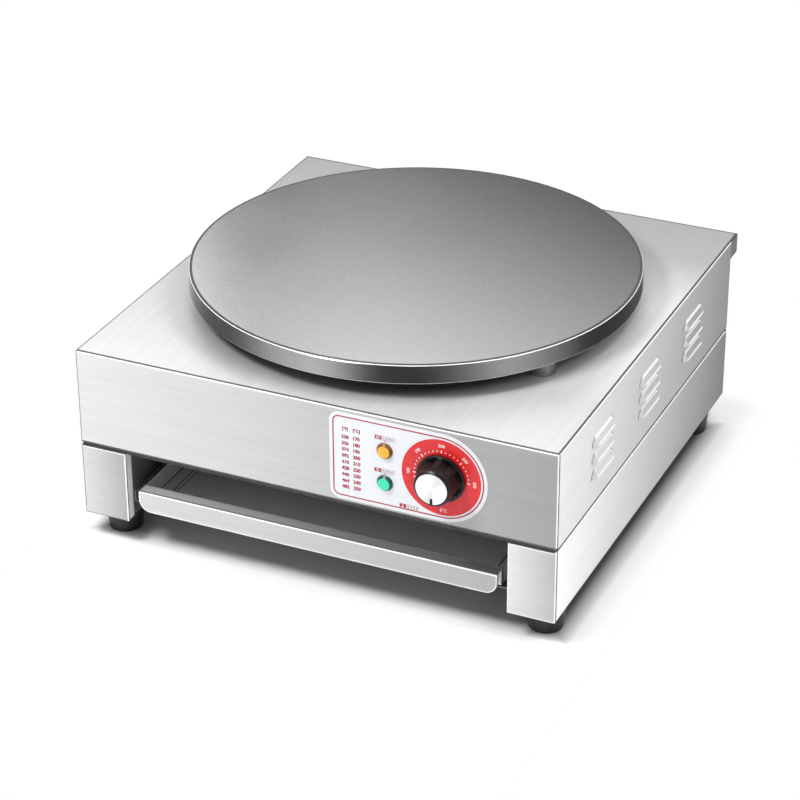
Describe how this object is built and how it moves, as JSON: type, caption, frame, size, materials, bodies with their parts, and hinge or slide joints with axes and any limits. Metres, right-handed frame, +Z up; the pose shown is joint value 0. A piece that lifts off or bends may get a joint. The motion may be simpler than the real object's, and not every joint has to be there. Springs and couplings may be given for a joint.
{
  "type": "electric crepe maker",
  "caption": "Countertop electric crepe maker: a round cast plate on a low stainless body with a dial thermostat, two lamps, a sliding tray and rubber feet.",
  "frame": {"origin": "centre of the outline on the worktop, under the feet", "axes": "+X right as the cook sees it, +Y back from the cook, +Z up out of the plate"},
  "size_m": [0.452, 0.4752, 0.2195],
  "materials": {
    "hood_steel": "brushed, lengthwise on the top and across on the fascia",
    "frame_steel": "brushed",
    "inner_steel": "mill finish",
    "tray_steel": "fine brushed",
    "zinc": "bright zinc plated",
    "support_steel": "turned and polished",
    "rubber": "satin",
    "plate_iron": "machined, satin",
    "element_steel": "oxidised sheath",
    "ceramic": "unglazed",
    "insulation": "pressed fibre",
    "copper": "drawn copper",
    "brass": "turned",
    "knob_black": "glossy",
    "cap_silver": "spun",
    "label_white": "satin print",
    "amber": "translucent",
    "green": "translucent",
    "lamp_plastic": "moulded",
    "black_plastic": "moulded",
    "wire_brown": "extruded",
    "wire_blue": "extruded",
    "wire_green_yellow": "extruded"
  },
  "bodies": {
    "body": {"hood": "hood_steel", "rear_panel": "inner_steel", "chassis_plate": "inner_steel", "left_side_frame": "frame_steel", "right_side_frame": "frame_steel", "left_inner_panel": "inner_steel", "right_inner_panel": "inner_steel", "left_runner": "inner_steel", "right_runner": "inner_steel", "runner_rivets": "zinc", "hood_screws": "zinc", "inner_panel_screws": "zinc", "frame_nuts": "zinc", "rear_panel_screws": "zinc", "rear_panel_nuts": "zinc", "front_left_foot": "rubber", "front_right_foot": "rubber", "rear_left_foot": "rubber", "rear_right_foot": "rubber", "foot_screws": "zinc", "foot_nuts": "zinc", "griddle_plate": "plate_iron", "front_left_support": "support_steel", "front_right_support": "support_steel", "rear_support": "support_steel", "support_washers": "zinc", "support_nuts": "zinc", "heating_element": "element_steel", "element_bushes": "ceramic", "insulation_disc": "insulation", "element_cover": "inner_steel", "cover_screws": "zinc", "thermostat_body": "ceramic", "thermostat_screws": "zinc", "thermostat_bulb": "copper", "thermostat_capillary": "copper", "capillary_grommet": "rubber", "control_label": "label_white", "amber_lens": "amber", "amber_lamp_body": "lamp_plastic", "green_lens": "green", "green_lamp_body": "lamp_plastic", "lamp_nuts": "black_plastic", "terminal_block": "lamp_plastic", "terminal_block_fixings": "zinc", "terminal_clamps": "brass", "cable_gland_body": "black_plastic", "cable_gland_dome": "black_plastic", "cable_gland_locknut": "black_plastic", "bonding_stud": "zinc", "bonding_nuts": "zinc", "live_wires": "wire_brown", "neutral_wires": "wire_blue", "earth_wire": "wire_green_yellow"},
    "knob": {"knob": "knob_black", "knob_cap": "cap_silver", "thermostat_shaft": "zinc"},
    "tray": {"tray": "tray_steel"}
  },
  "joints": [
    {"name": "thermostat_knob", "type": "hinge", "parent": "body", "child": "knob", "pos_m": [0.1195, -0.2164, 0.141], "axis": [0, 1, 0], "range_deg": [0, 270]},
    {"name": "tray_slide", "type": "slide", "parent": "body", "child": "tray", "axis": [0, -1, 0], "range_m": [0, 0.3]}
  ]
}
